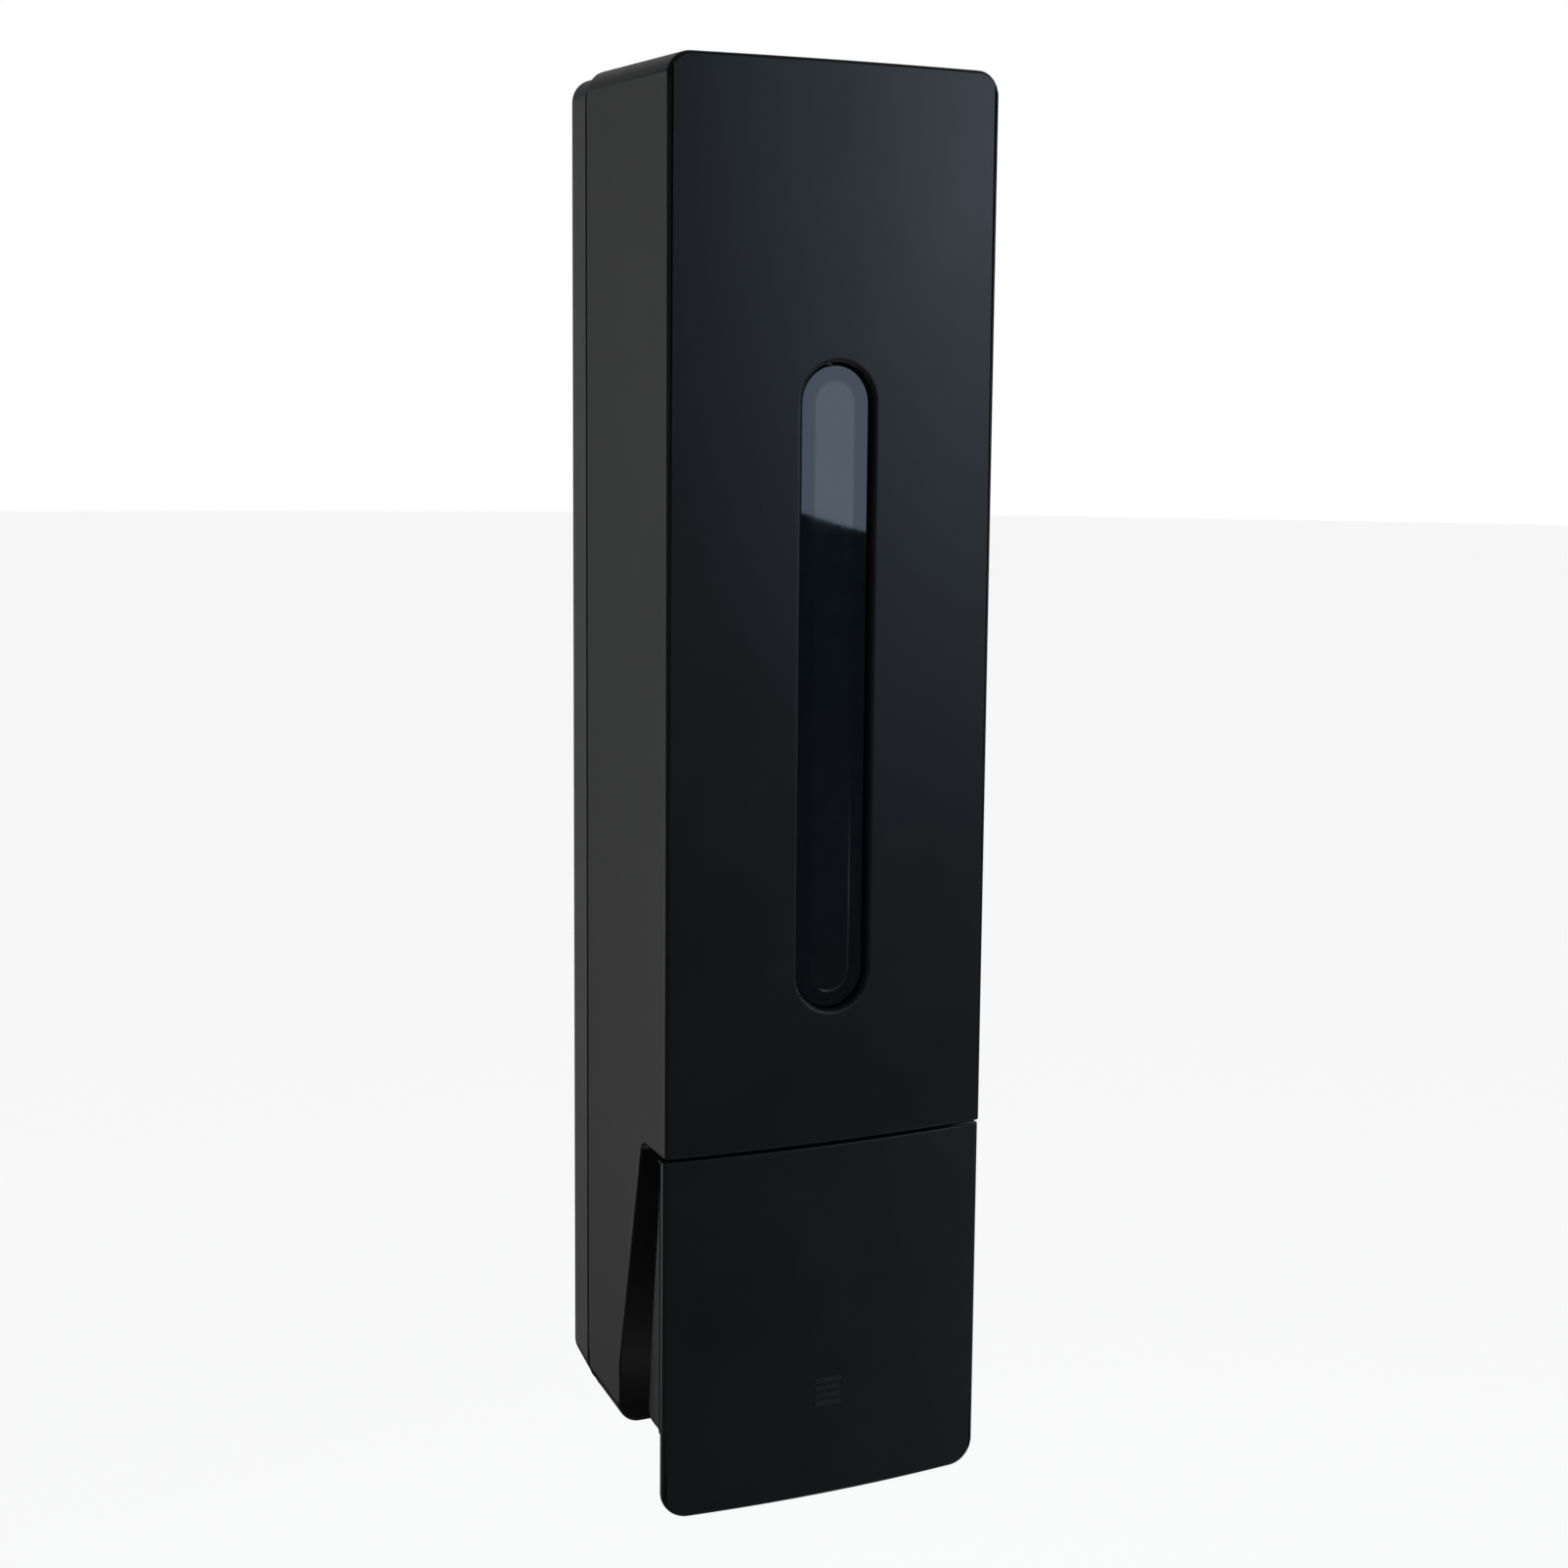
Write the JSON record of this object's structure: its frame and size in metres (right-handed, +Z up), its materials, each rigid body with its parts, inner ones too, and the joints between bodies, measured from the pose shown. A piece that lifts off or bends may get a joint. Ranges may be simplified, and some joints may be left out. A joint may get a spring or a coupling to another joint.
{
  "type": "wall mounted soap dispenser",
  "caption": "Tall slim wall dispenser: crowned front cover with a slot window, hinged at the bottom, and a push lever that works a pump under the tank.",
  "frame": {"origin": "centre of the wall plate's back face, on the wall, 160 mm above the lever's bottom edge", "axes": "+Y into the wall, so the front faces -Y; +Z up; +X to the right for someone facing the front"},
  "size_m": [0.0752, 0.0517, 0.3],
  "materials": {
    "shell_black": "fine satin texture, black ABS",
    "lever_black": "fine satin texture, black ABS",
    "plate_black": "matte black ABS",
    "lens_smoke": "polished smoked acrylic",
    "tank_smoke": "smoked translucent polypropylene",
    "pump_white": "natural white acetal",
    "fitting_black": "moulded black polypropylene",
    "seal_silicone": "grey silicone",
    "steel": "drawn stainless wire and rod",
    "lock_metal": "satin plated zinc"
  },
  "bodies": {
    "base": {"wall_plate": "plate_black", "reservoir": "tank_smoke", "pump_body": "pump_white", "pump_front_cap": "pump_white", "pump_collar": "fitting_black", "outlet_seal": "seal_silicone", "inlet_valve_seat": "fitting_black", "inlet_valve_ball": "steel", "outlet_valve": "seal_silicone", "nozzle": "fitting_black", "pump_spring": "steel"},
    "cap": {"fill_cap": "fitting_black", "fill_cap_seal": "seal_silicone"},
    "plunger": {"plunger": "pump_white", "piston_seal": "seal_silicone"},
    "cover": {"cover": "shell_black", "window_lens": "lens_smoke", "lever_axle": "steel", "hinge_pin_left": "steel", "hinge_pin_right": "steel", "lock_housing": "lock_metal", "lock_nut": "lock_metal"},
    "lever": {"lever": "lever_black"},
    "lock": {"lock_core": "lock_metal", "lock_cam": "steel", "lock_screw": "steel"}
  },
  "joints": [
    {"name": "cover_hinge", "type": "hinge", "parent": "base", "child": "cover", "pos_m": [0, -0.0112, -0.14165], "axis": [1, 0, 0], "range_deg": [0, 60]},
    {"name": "lever_push", "type": "hinge", "parent": "cover", "child": "lever", "pos_m": [0, -0.044, -0.086], "axis": [1, 0, 0], "range_deg": [0, 12], "stiffness_Nm_per_rad": 0.6, "springref_deg": -12.61},
    {"name": "plunger_slide", "type": "slide", "parent": "base", "child": "plunger", "axis": [0, 1, 0], "range_m": [0, 0.0072], "deforming": ["pump_spring"]},
    {"name": "lock_turn", "type": "hinge", "parent": "cover", "child": "lock", "pos_m": [0, -0.018, 0.13], "axis": [0, 0, -1], "range_deg": [0, 90]},
    {"name": "cap_turn", "type": "hinge", "parent": "base", "child": "cap", "pos_m": [0, -0.025, 0.116], "axis": [0, 0, 1], "range_deg": [0, 90]}
  ],
  "couplings": [
    {"joint": "plunger_slide", "follows": "lever_push", "m_per_rad": 0.0341}
  ]
}
